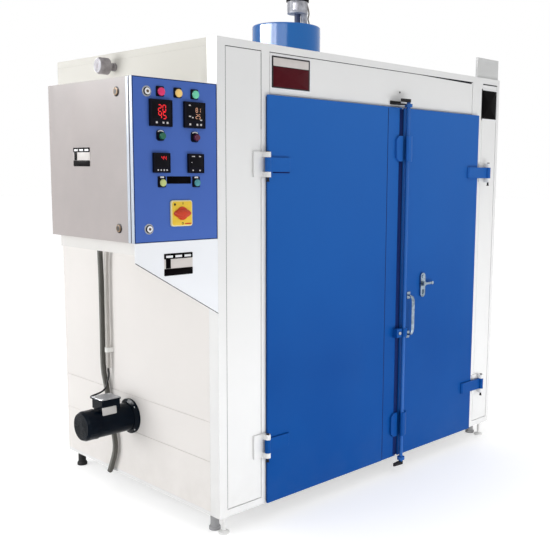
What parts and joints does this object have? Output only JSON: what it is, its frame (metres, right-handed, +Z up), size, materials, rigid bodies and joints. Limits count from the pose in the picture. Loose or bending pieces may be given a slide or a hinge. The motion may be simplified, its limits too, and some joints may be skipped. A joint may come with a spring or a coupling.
{
  "type": "hot air yarn dryer",
  "caption": "Insulated white drying cabinet with blue double doors, full-height lock rod, side control box, side motor and roof blower with vertical motor.",
  "frame": {"origin": "centre of the bounding box at the floor, under the levelling feet", "axes": "+Z up, -Y towards the side that the doors open to, +X to the right as seen facing the doors"},
  "size_m": [2.341, 1.2713, 2.5462],
  "materials": {
    "white_paint": "satin white enamel",
    "blue_paint": "gloss blue enamel",
    "grey_paint": "satin light grey powder coat",
    "inner_steel": "plain galvanised inner sheet",
    "black_rubber": "matte black",
    "zinc_steel": "zinc plated",
    "chrome": "polished",
    "dark_steel": "near black satin",
    "motor_paint": "dark blue-black enamel",
    "black_plastic": "black housing",
    "yellow_plastic": "yellow",
    "red_plastic": "red",
    "cast_aluminium": "as cast",
    "grey_plastic": "grey flexible conduit",
    "white_plastic": "white clip"
  },
  "bodies": {
    "cabinet": {"base_tray": "white_paint", "left_wall": "white_paint", "right_wall": "white_paint", "back_wall": "white_paint", "roof_panel": "white_paint", "front_frame": "white_paint", "left_front_panel": "white_paint", "right_front_panel": "white_paint", "top_front_panel": "white_paint", "doorway_gasket": "black_rubber", "left_lower_frame_hinge": "white_paint", "left_upper_frame_hinge": "white_paint", "right_lower_frame_hinge": "white_paint", "right_upper_frame_hinge": "white_paint", "rod_keeper": "zinc_steel", "control_box_shell": "white_paint", "box_support": "white_paint", "support_gusset": "white_paint", "motor_flange": "motor_paint", "motor_body": "motor_paint", "motor_fan_cover": "motor_paint", "motor_terminal_box": "motor_paint", "sensor_head": "cast_aluminium", "supply_conduit": "grey_plastic", "motor_conduit": "grey_plastic", "conduit_clip": "white_plastic", "motor_cable": "black_rubber", "blower_drum": "blue_paint", "bearing_stool": "cast_aluminium", "roof_motor_body": "dark_steel", "roof_motor_cowl": "dark_steel", "roof_corner_box": "white_paint"},
    "left_door": {"left_door_panel": "blue_paint", "left_door_strip": "blue_paint", "left_door_plug": "inner_steel", "left_lower_door_hinge": "blue_paint", "left_upper_door_hinge": "blue_paint"},
    "right_door": {"right_door_panel": "blue_paint", "right_door_plug": "inner_steel", "right_lower_door_hinge": "blue_paint", "right_upper_door_hinge": "blue_paint", "pull_handle": "chrome", "door_lock": "chrome"},
    "lock_rod": {"lock_rod": "blue_paint", "upper_cam": "dark_steel", "lower_cam": "dark_steel"},
    "lock_lever": {"lock_lever": "chrome"},
    "control_door": {"control_door_panel": "blue_paint", "temperature_controller_1": "black_plastic", "temperature_controller_2": "black_plastic", "temperature_controller_3": "black_plastic", "temperature_controller_4": "black_plastic", "switch_plate": "yellow_plastic"},
    "switch_knob": {"switch_knob": "red_plastic"},
    "side_door": {"side_door_panel": "grey_paint"}
  },
  "joints": [
    {"name": "left_door_hinge", "type": "hinge", "parent": "cabinet", "child": "left_door", "pos_m": [-0.5531, -0.61235, 0.94], "axis": [0, 0, -1], "range_deg": [0, 105]},
    {"name": "right_door_hinge", "type": "hinge", "parent": "cabinet", "child": "right_door", "pos_m": [1.045, -0.61235, 0.94], "axis": [0, 0, 1], "range_deg": [0, 105]},
    {"name": "lock_rod_turn", "type": "hinge", "parent": "right_door", "child": "lock_rod", "pos_m": [0.339, -0.61635, 0.94], "axis": [0, 0, 1], "range_deg": [0, 90]},
    {"name": "lock_lever_turn", "type": "hinge", "parent": "right_door", "child": "lock_lever", "pos_m": [0.497, -0.61835, 0.941], "axis": [0, 1, 0], "range_deg": [0, 90]},
    {"name": "control_door_hinge", "type": "hinge", "parent": "cabinet", "child": "control_door", "pos_m": [-0.7915, -0.58435, 1.525], "axis": [0, 0, 1], "range_deg": [0, 100]},
    {"name": "side_door_hinge", "type": "hinge", "parent": "cabinet", "child": "side_door", "pos_m": [-1.1645, 0.01565, 1.525], "axis": [0, 0, -1], "range_deg": [0, 100]},
    {"name": "switch_turn", "type": "hinge", "parent": "control_door", "child": "switch_knob", "pos_m": [-0.9635, -0.59435, 1.334], "axis": [0, -1, 0], "range_deg": [0, 90]}
  ]
}
